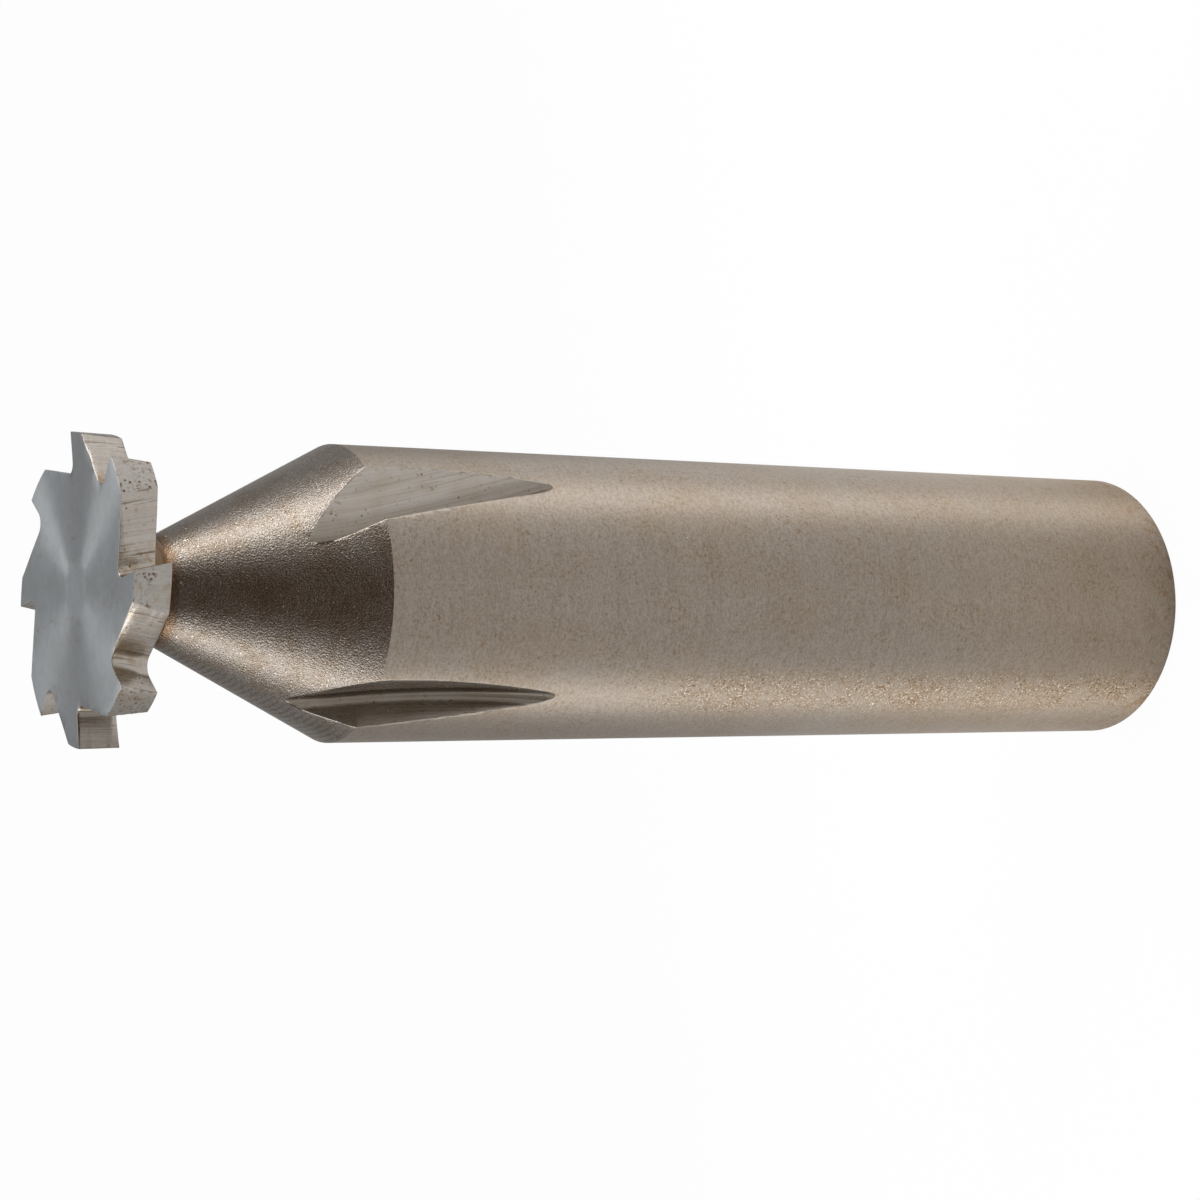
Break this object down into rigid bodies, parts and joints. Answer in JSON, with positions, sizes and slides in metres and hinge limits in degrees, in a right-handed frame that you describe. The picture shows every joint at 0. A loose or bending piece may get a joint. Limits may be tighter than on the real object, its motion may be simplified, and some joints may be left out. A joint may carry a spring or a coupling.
{
  "type": "woodruff keyseat cutter",
  "caption": "Shank-type milling cutter: a thin staggered-tooth disc on a short neck, a cone and a plain round shank.",
  "frame": {"origin": "centre of the flat end of the shank, which the tool stands on", "axes": "+Z along the tool's axis from the shank to the toothed disc; +X through the cutting edge of a tooth whose gullet runs into the shank"},
  "size_m": [0.0128, 0.0128, 0.054],
  "materials": {
    "high_speed_steel": "ground and blasted high-speed steel with light rust stains"
  },
  "bodies": {
    "root": {"woodruff_cutter": "high_speed_steel"}
  },
  "joints": []
}
